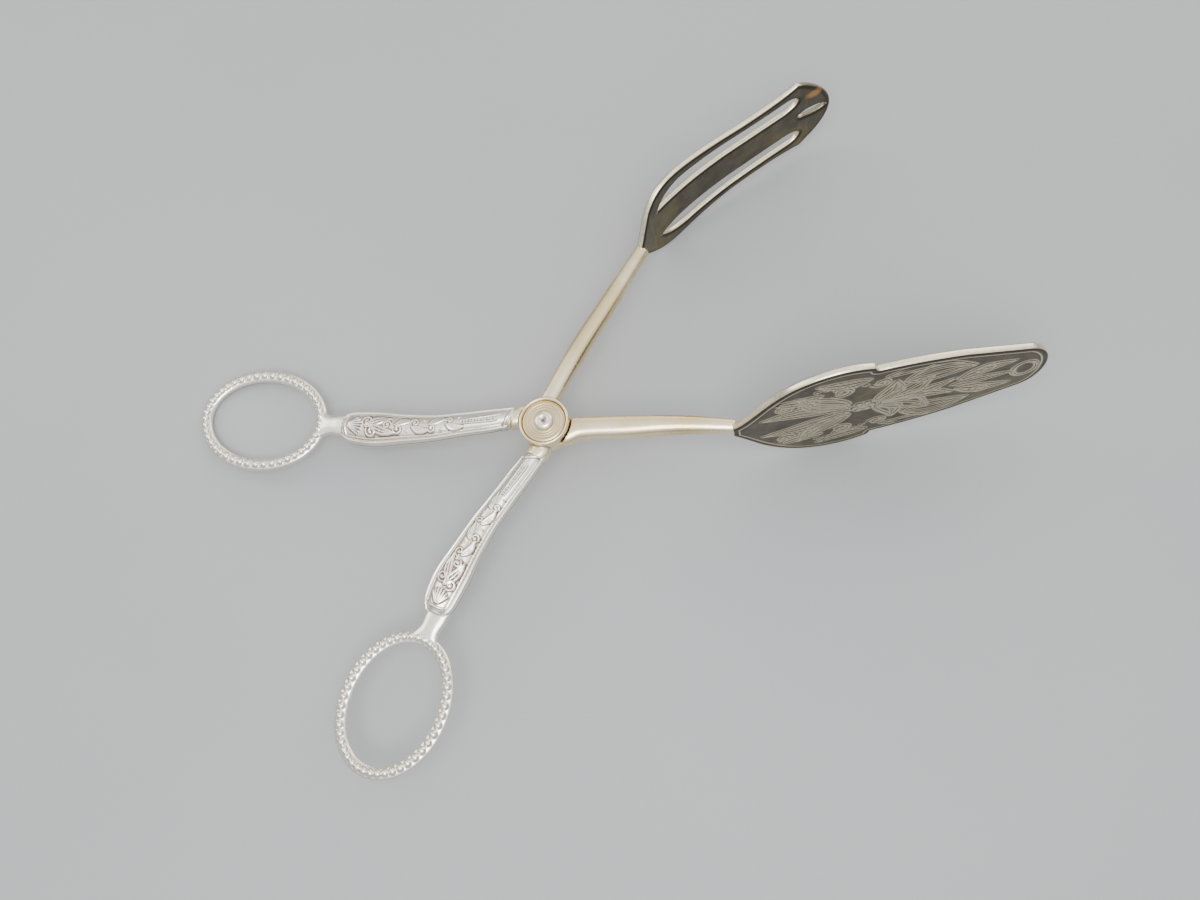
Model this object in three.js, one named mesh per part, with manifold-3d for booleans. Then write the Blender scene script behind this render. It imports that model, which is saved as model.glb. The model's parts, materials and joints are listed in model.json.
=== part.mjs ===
// Scissor-action serving tongs: a pierced fork jaw and a solid spade jaw on crossed arms with finger rings.
// Millimetres, +Z up. The tongs lie open on a table, so the plane of the scissors leans a little.
//
// Each half is drawn in its own arm frame, centred on the pivot: u runs along the arm from ring to jaw,
// v runs across it towards the inside of the jaw, and z runs along the pivot axis.
import * as THREE from "three";
import { mergeVertices } from "three/addons/utils/BufferGeometryUtils.js";
import Module from "manifold-3d";

const wasm = await Module();
wasm.setup();

const DEGREE = Math.PI / 180;

// Pose on the table
const SPADE_ARM_ANGLE = -10.9 * DEGREE;
const FORK_ARM_ANGLE = 56.2 * DEGREE;
const LEAN_ANGLE = 8.23 * DEGREE;
const LEAN_DIRECTION = -34.858 * DEGREE;

// Pivot
const BOSS_RADIUS = 6.25;
const LAP_RADIUS = 6.0;
const LAP_THICKNESS = 2.5;
const LAP_GAP = 0.15;
const LAP_CLEARANCE = 0.35;
const BOSS_RIM_WIDTH = 0.7;
const BOSS_RIM_HEIGHT = 0.9;
const RIVET_RADIUS = 1.5;
const RIVET_CLEARANCE = 0.08;
const RIVET_HEAD_RADIUS = 2.35;
const RIVET_HEAD_HEIGHT = 0.9;
const DISC_RADIUS = 5.2;
const DISC_THICKNESS = 0.35;
const WASHER_RADIUS = 3.6;
const WASHER_THICKNESS = 0.6;
const SEAT_GAP = 0.1;

// Finger rings
const RING_CENTRE_U = -74;
const RING_SKEW = 5.6 * DEGREE;
const RING_LONG_RADIUS = 15.8;
const RING_SHORT_RADIUS = 11.98;
const RING_WALL = 3.07;
const RING_BOTTOM = -1.3;
const RING_BAND_TOP = 0.5;
const BEAD_COUNT = 45;
const BEAD_RADIUS = 0.95;
const NECK_HALF_WIDTH = 2.95;
const NECK_V = -1.0;

// Handles: two struck shells over the tangs
const HANDLE_END_U = -51.4;
const HANDLE_FRONT_U = -8.6;
const SHANK_START_U = -8.3;
const HANDLE_SEAM = 0.15;
const TANG_HALF_WIDTH = 1.3;
const TANG_HALF_HEIGHT = 0.8;
const TANG_GAP = 0.25;
const HANDLE_WIDTHS = [
  [-51.4, 2.7], [-50.7, 3.3], [-48.8, 3.95], [-43, 4.35], [-35, 3.65], [-22, 2.95], [-8.6, 2.8],
];
const HANDLE_MIDLINE = [[-51.4, -1.7], [-43, -2.15], [-29, -1.6], [-22, -0.6], [-8.6, 1.45]];
const HANDLE_HEIGHTS = [[-51.4, 2.3], [-50.4, 2.8], [-43, 3.2], [-29, 2.8], [-8.6, 2.5]];

// Jaws
const JAW_THICKNESS = 1.8;
const SOLDER_GAP = 0.2;
const SPADE_BASE_U = 45;
const FORK_BASE_U = 51;
const SPADE_STEP_U = 76.4;
const SPADE_TIP_U = 115.2;
const FORK_CORNER_U = 101.5;
const FORK_TIP_U = 108.8;
const TINE_HALF_HEIGHT = 5.0;

const SPADE_SHANK = {
  end: SPADE_BASE_U - SOLDER_GAP,
  midline: [[-8.3, 1.5], [-6, 1.8], [0, 0], [5, -1.5], [9, -0.7], [20, 0], [33, 0.8], [45, 0.7]],
  widths: [[-8.3, 2.75], [5, 3.6], [9, 2.9], [20, 2.8], [33, 2.3], [45, 1.75]],
};
const FORK_SHANK = {
  end: FORK_BASE_U - SOLDER_GAP,
  midline: [[-8.3, 1.5], [-6, 1.8], [0, -0.6], [5, -2.3], [9, -2.4], [22, -2.1], [35, -1.15], [51, -0.1]],
  widths: [[-8.3, 2.75], [9, 2.4], [22, 2.4], [35, 2.25], [51, 1.85]],
};

function colour(hex, roughness) {
  return new THREE.MeshStandardMaterial({ color: hex, metalness: 1, roughness });
}

function part(name, geometry, hex, roughness = 0.3) {
  const mesh = new THREE.Mesh(geometry, colour(hex, roughness));
  mesh.name = name;
  return mesh;
}

// Smooth value at u from a short list of [u, value] pairs
function along(table, u) {
  const last = table.length - 1;
  const x = THREE.MathUtils.clamp(u, table[0][0], table[last][0]);
  let i = 0;
  while (i < last - 1 && x > table[i + 1][0]) {
    i += 1;
  }
  const t = (x - table[i][0]) / (table[i + 1][0] - table[i][0]);
  const slope = (a, b) => (table[b][1] - table[a][1]) / (table[b][0] - table[a][0]);
  const span = table[i + 1][0] - table[i][0];
  const startSlope = i > 0 ? slope(i - 1, i + 1) : slope(i, i + 1);
  const endSlope = i < last - 1 ? slope(i, i + 2) : slope(i, i + 1);
  const blend = t * t * (3 - 2 * t);
  const rise = t * (1 - t) * ((1 - t) * startSlope - t * endSlope) * span;
  return table[i][1] * (1 - blend) + table[i + 1][1] * blend + rise;
}

function stations(start, end, count) {
  return Array.from({ length: count + 1 }, (_, i) => start + ((end - start) * i) / count);
}

// Solid through a row of cross-sections that all have the same number of corners
function loft(sections, closed = false) {
  const corners = sections[0].length;
  const indices = [];
  for (let i = 0; i < sections.length - (closed ? 0 : 1); i++) {
    const a = i * corners;
    const b = ((i + 1) % sections.length) * corners;
    for (let j = 0; j < corners; j++) {
      const k = (j + 1) % corners;
      indices.push(a + j, a + k, b + k, a + j, b + k, b + j);
    }
  }
  if (!closed) {
    const last = (sections.length - 1) * corners;
    for (const [a, b, c] of capFaces(sections[0])) {
      indices.push(a, c, b, last + a, last + b, last + c);
    }
  }
  const geometry = new THREE.BufferGeometry();
  const positions = sections.flat().flatMap((p) => [p.x, p.y, p.z]);
  geometry.setAttribute("position", new THREE.Float32BufferAttribute(positions, 3));
  geometry.setIndex(indices);
  return outward(geometry);
}

// Triangles over one end section, turned the way its corners run
function capFaces(section) {
  const outline = section.map((p) => new THREE.Vector2(p.y, p.z));
  const turn = Math.sign(THREE.ShapeUtils.area(outline));
  return THREE.ShapeUtils.triangulateShape(outline, []).map(([a, b, c]) => {
    const same = Math.sign(THREE.ShapeUtils.area([outline[a], outline[b], outline[c]])) === turn;
    return same ? [a, b, c] : [a, c, b];
  });
}

function outward(geometry) {
  const position = geometry.attributes.position;
  const index = geometry.index.array;
  const [a, b, c] = [new THREE.Vector3(), new THREE.Vector3(), new THREE.Vector3()];
  let volume = 0;
  for (let i = 0; i < index.length; i += 3) {
    a.fromBufferAttribute(position, index[i]);
    b.fromBufferAttribute(position, index[i + 1]);
    c.fromBufferAttribute(position, index[i + 2]);
    volume += a.dot(b.cross(c));
  }
  if (volume < 0) {
    for (let i = 0; i < index.length; i += 3) {
      [index[i + 1], index[i + 2]] = [index[i + 2], index[i + 1]];
    }
  }
  return geometry;
}

function toSolid(geometry) {
  const clean = geometry.clone();
  clean.deleteAttribute("normal");
  clean.deleteAttribute("uv");
  const merged = mergeVertices(clean, 1e-4);
  const vertProperties = new Float32Array(merged.attributes.position.array);
  const triVerts = new Uint32Array(merged.index.array);
  return new wasm.Manifold(new wasm.Mesh({ numProp: 3, vertProperties, triVerts }));
}

function toGeometry(solid) {
  const mesh = solid.getMesh();
  const geometry = new THREE.BufferGeometry();
  geometry.setAttribute("position", new THREE.Float32BufferAttribute(mesh.vertProperties, 3));
  geometry.setIndex(Array.from(mesh.triVerts));
  return geometry;
}

function union(geometries) {
  return geometries.map(toSolid).reduce((whole, piece) => whole.add(piece));
}

// Upright cylinder or cone about the pivot axis
function post(radius, bottom, top, topRadius = radius, sides = 48) {
  const geometry = new THREE.CylinderGeometry(topRadius, radius, top - bottom, sides);
  geometry.rotateX(Math.PI / 2);
  geometry.translate(0, 0, (bottom + top) / 2);
  return geometry;
}

// Rounded bar section with its corners at a superellipse
function barSection(u, v, halfWidth, halfHeight, sides = 20, middle = 0) {
  return Array.from({ length: sides }, (_, i) => {
    const a = (i / sides) * 2 * Math.PI;
    const x = Math.sign(Math.cos(a)) * Math.abs(Math.cos(a)) ** 0.8;
    const y = Math.sign(Math.sin(a)) * Math.abs(Math.sin(a)) ** 0.8;
    return new THREE.Vector3(u, v + halfWidth * x, middle + halfHeight * y);
  });
}

function tang(start, end) {
  const size = [end - start, 2 * TANG_HALF_WIDTH, 2 * TANG_HALF_HEIGHT];
  const bar = new THREE.BoxGeometry(...size, 6, 1, 1);
  bar.translate((start + end) / 2, 0, 0);
  const position = bar.attributes.position;
  for (let i = 0; i < position.count; i++) {
    position.setY(i, position.getY(i) + along(HANDLE_MIDLINE, position.getX(i)));
  }
  return bar;
}

function shank(design) {
  const rows = stations(SHANK_START_U, design.end, 22).map((u) => {
    const halfWidth = along(design.widths, u);
    return barSection(u, along(design.midline, u), halfWidth, Math.min(2.4, halfWidth * 0.92));
  });
  return loft(rows);
}

// Arm of one half: shank, lap disc and tang, with the other half's lap and the rivet bore cut away
function armGeometry(design, isUpper) {
  const lap = isUpper
    ? post(BOSS_RADIUS, LAP_GAP, LAP_GAP + LAP_THICKNESS + BOSS_RIM_HEIGHT)
    : post(LAP_RADIUS, -LAP_GAP - LAP_THICKNESS, -LAP_GAP);
  const room = isUpper
    ? post(LAP_RADIUS + LAP_CLEARANCE, -6, LAP_GAP)
    : post(BOSS_RADIUS + LAP_CLEARANCE, -LAP_GAP, 6);
  const bore = post(RIVET_RADIUS + RIVET_CLEARANCE, -6, 6);
  let solid = union([shank(design), tang(-34, SHANK_START_U + 0.3)]).subtract(toSolid(room)).add(toSolid(lap));
  if (isUpper) {
    const recess = post(BOSS_RADIUS - BOSS_RIM_WIDTH, LAP_GAP + LAP_THICKNESS, 6);
    solid = solid.subtract(toSolid(recess));
  }
  return toGeometry(solid.subtract(toSolid(bore)));
}

// One struck shell; side +1 is the face with the rim, side -1 the plain back
function shellGeometry(side) {
  const front = [[1, 0], [1, 0.42], [0.9, 0.52], [0.8, 0.5], [0.74, 0.6], [0.5, 0.86], [0.25, 0.97]];
  const back = [[1, 0], [0.99, 0.22], [0.93, 0.45], [0.8, 0.68], [0.6, 0.86], [0.35, 0.96], [0.15, 1]];
  const half = side > 0 ? front : back;
  const crown = [...half, ...half.map(([x, y]) => [-x, y]).reverse()];
  const innerWidth = TANG_HALF_WIDTH + TANG_GAP;
  const innerTop = TANG_HALF_HEIGHT + TANG_GAP;
  const rows = stations(HANDLE_END_U, HANDLE_FRONT_U, 26).map((u) => {
    const v = along(HANDLE_MIDLINE, u);
    const width = along(HANDLE_WIDTHS, u);
    const height = along(HANDLE_HEIGHTS, u) - HANDLE_SEAM;
    const outer = crown.map(([x, y]) => [v + width * x, HANDLE_SEAM + height * y]);
    const channel = [
      [v - innerWidth, HANDLE_SEAM],
      [v - innerWidth, innerTop],
      [v + innerWidth, innerTop],
      [v + innerWidth, HANDLE_SEAM],
    ];
    return [...outer, ...channel].map(([y, z]) => new THREE.Vector3(u, y, side * z));
  });
  return loft(rows);
}

function ringPoint(angle, offset = 0) {
  const x = -(RING_LONG_RADIUS + offset) * Math.cos(angle);
  const y = (RING_SHORT_RADIUS + offset) * Math.sin(angle);
  const point = new THREE.Vector2(x, y).rotateAround(new THREE.Vector2(), -RING_SKEW);
  return point.add(new THREE.Vector2(RING_CENTRE_U, 0));
}

function ringBand() {
  const middle = (RING_BOTTOM + RING_BAND_TOP) / 2;
  const rise = (RING_BAND_TOP - RING_BOTTOM) / 2;
  const rows = stations(0, 2 * Math.PI, 48).slice(0, -1).map((angle) =>
    barSection(0, 0, RING_WALL / 2, rise, 10, middle).map((p) => {
      const q = ringPoint(angle, p.y);
      return new THREE.Vector3(q.x, q.y, p.z);
    })
  );
  return loft(rows, true);
}

function bead(angle) {
  const geometry = new THREE.SphereGeometry(BEAD_RADIUS, 7, 5);
  geometry.rotateX(Math.PI / 2);
  const q = ringPoint(angle);
  geometry.translate(q.x, q.y, RING_BAND_TOP - 0.05);
  return geometry;
}

function ringGeometry() {
  const neck = loft(
    stations(-57.6, HANDLE_END_U - SOLDER_GAP, 6).map((u) => {
      const waist = NECK_HALF_WIDTH - 0.35 * Math.sin(((u + 57.6) / 6) * Math.PI);
      return barSection(u, NECK_V, waist, 1.25, 14, -0.1);
    })
  );
  const beads = stations(0, 2 * Math.PI, BEAD_COUNT).slice(0, -1).map(bead);
  return toGeometry(union([ringBand(), neck, tang(HANDLE_END_U - 0.8, -34.3), ...beads]));
}

// Upright plate: a ribbon along a plan line, trimmed to an outline seen from the side
function plate(line, outline) {
  const half = JAW_THICKNESS / 2;
  const left = line.map((p, i) => p.clone().add(sideStep(line, i, half)));
  const right = line.map((p, i) => p.clone().add(sideStep(line, i, -half)));
  const ribbon = new THREE.ExtrudeGeometry(new THREE.Shape([...left, ...right.reverse()]), {
    depth: 60,
    bevelEnabled: false,
  });
  ribbon.translate(0, 0, -30);
  const trim = new THREE.ExtrudeGeometry(outline, { depth: 80, bevelEnabled: false, curveSegments: 10 });
  trim.rotateX(Math.PI / 2);
  trim.translate(0, 60, 0);
  return toGeometry(toSolid(ribbon).intersect(toSolid(trim)));
}

function sideStep(line, i, distance) {
  const before = line[Math.max(i - 1, 0)];
  const after = line[Math.min(i + 1, line.length - 1)];
  const along2d = after.clone().sub(before).normalize();
  return new THREE.Vector2(-along2d.y, along2d.x).multiplyScalar(distance);
}

// Mirrors the upper half of an outline below the axis and closes it
function mirrored(draw) {
  const upper = new THREE.Path();
  draw(upper);
  const points = upper.getPoints(8);
  const lower = points.filter((p) => p.y > 1e-6).map((p) => new THREE.Vector2(p.x, -p.y));
  return new THREE.Shape([...lower, ...points.reverse()]);
}

function spadeGeometry() {
  const outline = mirrored((path) => {
    path.moveTo(SPADE_BASE_U, 2.2);
    path.bezierCurveTo(50.2, 6.8, 54, 21.5, 69, 22.1);
    path.bezierCurveTo(72, 22.1, 74.5, 21.4, SPADE_STEP_U, 20.4);
    path.lineTo(SPADE_STEP_U + 0.6, 18.6);
    path.bezierCurveTo(84, 18.5, 90, 17.4, 96, 15.8);
    path.lineTo(110.3, 10.4);
    path.bezierCurveTo(113, 9.4, SPADE_TIP_U, 5.5, SPADE_TIP_U, 0);
  });
  const bend = new THREE.QuadraticBezierCurve(
    new THREE.Vector2(SPADE_BASE_U - 1, -0.25),
    new THREE.Vector2(47.9, -0.2),
    new THREE.Vector2(53, 1.24)
  );
  const line = [...bend.getPoints(8), new THREE.Vector2(118, 19.33)];
  return plate(line, outline);
}

// Lens-shaped slot between two tines
function slot(side) {
  const path = new THREE.Path();
  path.moveTo(60.5, side * 5.6);
  path.quadraticCurveTo(63.5, side * 9.6, 69, side * 9.9);
  path.bezierCurveTo(78, side * 9.6, 86, side * 8.5, 97.5, side * 8.8);
  path.quadraticCurveTo(101, side * 8.9, 101.4, side * 6.8);
  path.quadraticCurveTo(101.2, side * 5.2, 97.5, side * (TINE_HALF_HEIGHT - 0.3));
  path.lineTo(70, side * TINE_HALF_HEIGHT);
  path.quadraticCurveTo(64, side * TINE_HALF_HEIGHT, 60.5, side * 5.6);
  return path;
}

function tipSlot() {
  const path = new THREE.Path();
  path.absellipse(104.6, 0, 3.1, 1.2, 0, 2 * Math.PI);
  return path;
}

function forkGeometry() {
  const outline = mirrored((path) => {
    path.moveTo(FORK_BASE_U, 2.1);
    path.bezierCurveTo(55, 6.5, 58, 13.3, 66.5, 13.3);
    path.bezierCurveTo(72, 13.3, 80, 11.6, 88, 11.4);
    path.bezierCurveTo(94, 11.3, 98, 11.6, FORK_CORNER_U, 12.6);
    path.bezierCurveTo(104.8, 10.6, FORK_TIP_U, 5.6, FORK_TIP_U, 0);
  });
  outline.holes.push(slot(1), slot(-1), tipSlot());
  const bend = new THREE.QuadraticBezierCurve(
    new THREE.Vector2(57, -0.4),
    new THREE.Vector2(66, 0.2),
    new THREE.Vector2(82, 8.5)
  );
  const line = [
    new THREE.Vector2(FORK_BASE_U - 2, -0.2),
    ...bend.getPoints(12),
    new THREE.Vector2(101.6, 19.4),
    new THREE.Vector2(103.4, 20.6),
    new THREE.Vector2(113, 28.2),
  ];
  return plate(line, outline);
}

function half(name, design, isUpper, jawGeometry) {
  const group = new THREE.Group();
  group.add(part(`${name}_jaw`, jawGeometry, 0x9a8f7c, 0.45));
  group.add(part(`${name}_arm`, armGeometry(design, isUpper), 0xd8d2bd, 0.3));
  group.add(part(`${name}_handle_front`, shellGeometry(1), 0xe2e0da, 0.3));
  group.add(part(`${name}_handle_back`, shellGeometry(-1), 0xdedcd4, 0.3));
  group.add(part(`${name}_ring`, ringGeometry(), 0xe6e4de, 0.28));
  return group;
}

function rivetGeometry() {
  const floor = LAP_GAP + LAP_THICKNESS;
  const base = floor + SEAT_GAP + DISC_THICKNESS + SEAT_GAP;
  const back = -floor - SEAT_GAP - WASHER_THICKNESS - SEAT_GAP;
  const profile = [
    [0, back - 0.8],
    [1.6, back - 0.8],
    [2.2, back - 0.35],
    [2.2, back],
    [RIVET_RADIUS, back],
    [RIVET_RADIUS, base],
    [RIVET_HEAD_RADIUS, base],
    [RIVET_HEAD_RADIUS, base + 0.3],
    [1.9, base + 0.75],
    [1.2, base + RIVET_HEAD_HEIGHT],
    [0.8, base + RIVET_HEAD_HEIGHT - 0.1],
    [0, base + RIVET_HEAD_HEIGHT - 0.45],
  ];
  const geometry = new THREE.LatheGeometry(profile.map(([x, y]) => new THREE.Vector2(x, y)), 40);
  geometry.rotateX(Math.PI / 2);
  return geometry;
}

function washer(radius, bottom, top) {
  const hole = post(RIVET_RADIUS + RIVET_CLEARANCE, bottom - 1, top + 1);
  return toGeometry(toSolid(post(radius, bottom, top)).subtract(toSolid(hole)));
}

function pivot() {
  const group = new THREE.Group();
  const floor = LAP_GAP + LAP_THICKNESS;
  const discBottom = floor + SEAT_GAP;
  const washerTop = -floor - SEAT_GAP;
  const disc = washer(DISC_RADIUS, discBottom, discBottom + DISC_THICKNESS);
  const backWasher = washer(WASHER_RADIUS, washerTop - WASHER_THICKNESS, washerTop);
  group.add(part("pivot_rivet", rivetGeometry(), 0xd9d2bf, 0.3));
  group.add(part("pivot_disc", disc, 0xb5924c, 0.35));
  group.add(part("pivot_washer", backWasher, 0xc9b98e, 0.35));
  return group;
}

function tongs() {
  const spade = half("spade", SPADE_SHANK, false, spadeGeometry());
  spade.rotation.z = SPADE_ARM_ANGLE;
  const fork = half("fork", FORK_SHANK, true, forkGeometry());
  fork.rotation.z = FORK_ARM_ANGLE;
  fork.scale.y = -1;
  const group = new THREE.Group();
  group.add(spade, fork, pivot());
  return group;
}

// Leans the scissors until three points touch the table: a finger ring, the spade edge and the fork edge
function onTable(object) {
  const across = new THREE.Vector3(-Math.sin(LEAN_DIRECTION), Math.cos(LEAN_DIRECTION), 0);
  object.quaternion.setFromAxisAngle(across, -LEAN_ANGLE);
  const group = new THREE.Group();
  group.add(object);
  group.updateMatrixWorld(true);
  const box = new THREE.Box3().setFromObject(object, true);
  object.position.set(-(box.min.x + box.max.x) / 2, -(box.min.y + box.max.y) / 2, -box.min.z);
  return group;
}

const group = onTable(tongs());
export default group;
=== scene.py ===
"""Looks for the scissor-action serving tongs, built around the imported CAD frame."""

import json
import math

import bpy
import numpy as np
from mathutils import Euler, Matrix, Vector


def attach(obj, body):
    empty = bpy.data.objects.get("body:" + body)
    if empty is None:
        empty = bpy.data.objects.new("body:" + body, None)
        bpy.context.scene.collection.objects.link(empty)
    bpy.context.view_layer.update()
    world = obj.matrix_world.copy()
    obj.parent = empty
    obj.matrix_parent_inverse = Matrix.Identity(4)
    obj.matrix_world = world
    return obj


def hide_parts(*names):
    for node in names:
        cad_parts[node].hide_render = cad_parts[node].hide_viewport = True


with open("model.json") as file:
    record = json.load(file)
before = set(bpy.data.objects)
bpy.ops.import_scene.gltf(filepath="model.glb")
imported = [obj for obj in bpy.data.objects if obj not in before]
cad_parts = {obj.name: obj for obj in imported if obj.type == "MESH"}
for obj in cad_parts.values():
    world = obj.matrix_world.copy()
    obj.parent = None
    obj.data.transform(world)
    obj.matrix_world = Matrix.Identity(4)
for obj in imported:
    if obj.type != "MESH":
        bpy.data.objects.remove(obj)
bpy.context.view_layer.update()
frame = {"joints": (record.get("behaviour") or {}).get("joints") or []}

MM = 0.001
DEGREE = math.pi / 180

# Arm frames, as in the CAD, in mm about the pivot: u runs from ring to jaw, v towards the inside of
# the jaw and z along the pivot axis. The fork side's v runs the other way, which mirrors its shapes.
JOINT = frame["joints"][0]
PIVOT = np.array(JOINT["pos_m"])
AXIS = np.array(JOINT["axis"])
ARM_ANGLE = {"spade": -10.9 * DEGREE, "fork": 56.2 * DEGREE}
ARM_SIDE = {"spade": 1, "fork": -1}
BODY = {"spade": "spade_side", "fork": "fork_side"}

# The lap at the pivot: each arm's disc starts LAP_GAP from the middle plane and ends at LAP_TOP
LAP_GAP, LAP_TOP = 0.15, 2.65
BOSS_RADIUS, LAP_RADIUS = 6.25, 6.0
LAP_CLEARANCE = 0.35
SHAFT_RADIUS, BORE_RADIUS = 1.5, 1.6

# Half widths, middle lines and half heights along u
HANDLE_WIDTHS = [
    (-51.4, 2.7), (-50.7, 3.3), (-48.8, 3.95), (-43, 4.35), (-35, 3.65), (-22, 2.95), (-8.6, 2.8),
]
HANDLE_MIDLINE = [(-51.4, -1.7), (-43, -2.15), (-29, -1.6), (-22, -0.6), (-8.6, 1.45)]
HANDLE_HEIGHTS = [(-51.4, 2.3), (-50.4, 2.8), (-43, 3.2), (-29, 2.8), (-8.6, 2.5)]

SHANK_START = -8.3
SHANK = {
    "spade": {
        "end": 45.6,
        "midline": [
            (-8.3, 1.5), (-6, 1.8), (0, 0), (5, -1.5), (9, -0.7), (20, 0), (33, 0.8), (45, 0.7),
        ],
        "widths": [(-8.3, 2.75), (5, 3.6), (9, 2.9), (20, 2.8), (33, 2.3), (45, 1.75)],
    },
    "fork": {
        "end": 51.6,
        "midline": [
            (-8.3, 1.5), (-6, 1.8), (0, -0.6), (5, -2.3),
            (9, -2.4), (22, -2.1), (35, -1.15), (51, -0.1),
        ],
        "widths": [(-8.3, 2.75), (9, 2.4), (22, 2.4), (35, 2.25), (51, 1.85)],
    },
}
JAW_THICKNESS = 1.8


# ---------------------------------------------------------------- frames and curves


def lean_matrix():
    """Turns an upright axis to the pivot's direction in the row frame, as the CAD leans."""
    turn = Vector((0, 0, 1)).rotation_difference(Vector(AXIS))
    return np.array(turn.to_matrix())


LEAN = lean_matrix()


def to_row(points, half):
    """Points in a half's arm frame, in mm, as row-frame points in metres."""
    p = np.asarray(points, float).copy()
    p[:, 1] *= ARM_SIDE[half]
    c, s = math.cos(ARM_ANGLE[half]), math.sin(ARM_ANGLE[half])
    turned = np.column_stack([c * p[:, 0] - s * p[:, 1], s * p[:, 0] + c * p[:, 1], p[:, 2]])
    return turned @ LEAN.T * MM + PIVOT


def along(table, u):
    """Smooth value at u from a short list of (u, value) pairs; the CAD uses the same rule."""
    u = np.asarray(u, float)
    xs = np.array([r[0] for r in table])
    ys = np.array([r[1] for r in table])
    n = len(xs)
    x = np.clip(u, xs[0], xs[-1])
    i = np.clip(np.searchsorted(xs, x, side="left") - 1, 0, n - 2)
    span = xs[i + 1] - xs[i]
    t = (x - xs[i]) / span
    lo, hi = np.maximum(i - 1, 0), np.minimum(i + 2, n - 1)
    start = (ys[i + 1] - ys[lo]) / (xs[i + 1] - xs[lo])
    end = (ys[hi] - ys[i]) / (xs[hi] - xs[i])
    blend = t * t * (3 - 2 * t)
    eased = ys[i] * (1 - blend) + ys[i + 1] * blend
    return eased + t * (1 - t) * ((1 - t) * start - t * end) * span


# ---------------------------------------------------------------- meshes


def signed_volume(verts, faces):
    total = 0.0
    for f in faces:
        a = verts[f[0]]
        for j in range(1, len(f) - 1):
            total += np.dot(a, np.cross(verts[f[j]], verts[f[j + 1]]))
    return total


def shell(verts, faces):
    """A closed surface as (verts, faces), turned outward."""
    verts = np.asarray(verts, float)
    if signed_volume(verts, faces) < 0:
        faces = [tuple(reversed(f)) for f in faces]
    return verts, faces


def loft(rows, closed=False):
    """Skin through sections of as many points each; it joins up on itself, or gets capped ends."""
    rows = np.asarray(rows, float)
    count, corners = rows.shape[:2]
    verts = list(rows.reshape(-1, 3))
    faces = []
    for i in range(count if closed else count - 1):
        a, b = i * corners, ((i + 1) % count) * corners
        for j in range(corners):
            k = (j + 1) % corners
            faces.append((a + j, a + k, b + k, b + j))
    if not closed:
        first, last = len(verts), len(verts) + 1
        verts += [rows[0].mean(0), rows[-1].mean(0)]
        end = (count - 1) * corners
        for j in range(corners):
            k = (j + 1) % corners
            faces.append((first, k, j))
            faces.append((last, end + j, end + k))
    return shell(verts, faces)


def lathe(profile, sides=96):
    """Turned shape about the pivot axis, from (radius, height) pairs that start and end on it."""
    verts, rings = [], []
    for r, z in profile:
        if r < 1e-6:
            rings.append([len(verts)])
            verts.append((0, 0, z))
            continue
        rings.append(list(range(len(verts), len(verts) + sides)))
        for k in range(sides):
            a = 2 * math.pi * k / sides
            verts.append((r * math.cos(a), r * math.sin(a), z))
    faces = []
    for low, high in zip(rings, rings[1:]):
        for k in range(sides):
            m = (k + 1) % sides
            if len(low) == 1:
                faces.append((low[0], high[k], high[m]))
            elif len(high) == 1:
                faces.append((low[k], low[m], high[0]))
            else:
                faces.append((low[k], low[m], high[m], high[k]))
    return shell(verts, faces)


def joined(parts):
    """Several (verts, faces) as one."""
    verts, faces, base = [], [], 0
    for v, f in parts:
        verts.append(v)
        faces += [tuple(base + i for i in face) for face in f]
        base += len(v)
    return np.vstack(verts), faces


def make_mesh(name, verts, faces):
    mesh = bpy.data.meshes.new(name)
    mesh.from_pydata([tuple(v) for v in verts], [], faces)
    mesh.validate()
    mesh.update()
    return mesh


def add_object(name, mesh):
    obj = bpy.data.objects.new(name, mesh)
    bpy.context.scene.collection.objects.link(obj)
    return obj


def apply_modifiers(obj):
    """Bakes the modifiers into the mesh."""
    graph = bpy.context.evaluated_depsgraph_get()
    graph.update()
    mesh = bpy.data.meshes.new_from_object(obj.evaluated_get(graph))
    old = obj.data
    obj.modifiers.clear()
    obj.data = mesh
    bpy.data.meshes.remove(old)


def remesh(obj, voxel):
    even = obj.modifiers.new("even", "REMESH")
    even.mode = "VOXEL"
    even.voxel_size = voxel
    apply_modifiers(obj)


def fused(parts, voxel, smoothing, cuts=()):
    """One skin round overlapping closed parts, less the cutters, in mm in the arm frame."""
    obj = add_object("work", make_mesh("work", *joined(parts)))
    remesh(obj, voxel)
    for cutter in cuts:
        tool = add_object("cutter", make_mesh("cutter", *cutter))
        cut = obj.modifiers.new("cut", "BOOLEAN")
        cut.operation = "DIFFERENCE"
        cut.solver = "EXACT"
        cut.object = tool
        apply_modifiers(obj)
        bpy.data.objects.remove(tool)
    if cuts:
        remesh(obj, voxel)
    smooth = obj.modifiers.new("smooth", "SMOOTH")
    smooth.factor = 0.5
    smooth.iterations = smoothing
    apply_modifiers(obj)
    mesh = obj.data
    verts = np.zeros(len(mesh.vertices) * 3)
    mesh.vertices.foreach_get("co", verts)
    faces = [tuple(p.vertices) for p in mesh.polygons]
    bpy.data.objects.remove(obj)
    return verts.reshape(-1, 3), faces


def piece(name, half, parts, material, nodes, sharp, attributes):
    """Makes a finished piece in the row frame from arm-frame geometry in mm."""
    verts, faces = parts
    body = BODY[half]
    if ARM_SIDE[half] < 0:
        faces = [tuple(reversed(f)) for f in faces]
    mesh = make_mesh(name, to_row(verts, half), faces)
    for poly in mesh.polygons:
        poly.use_smooth = True
    mesh.set_sharp_from_angle(angle=sharp * DEGREE)
    for key, values in attributes.items():
        layer = mesh.attributes.new(key, "FLOAT", "POINT")
        layer.data.foreach_set("value", np.asarray(values, np.float32))
    mesh.materials.append(material)
    obj = add_object(name, mesh)
    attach(obj, body)
    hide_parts(*nodes)
    return obj


# ---------------------------------------------------------------- surface measures


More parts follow.
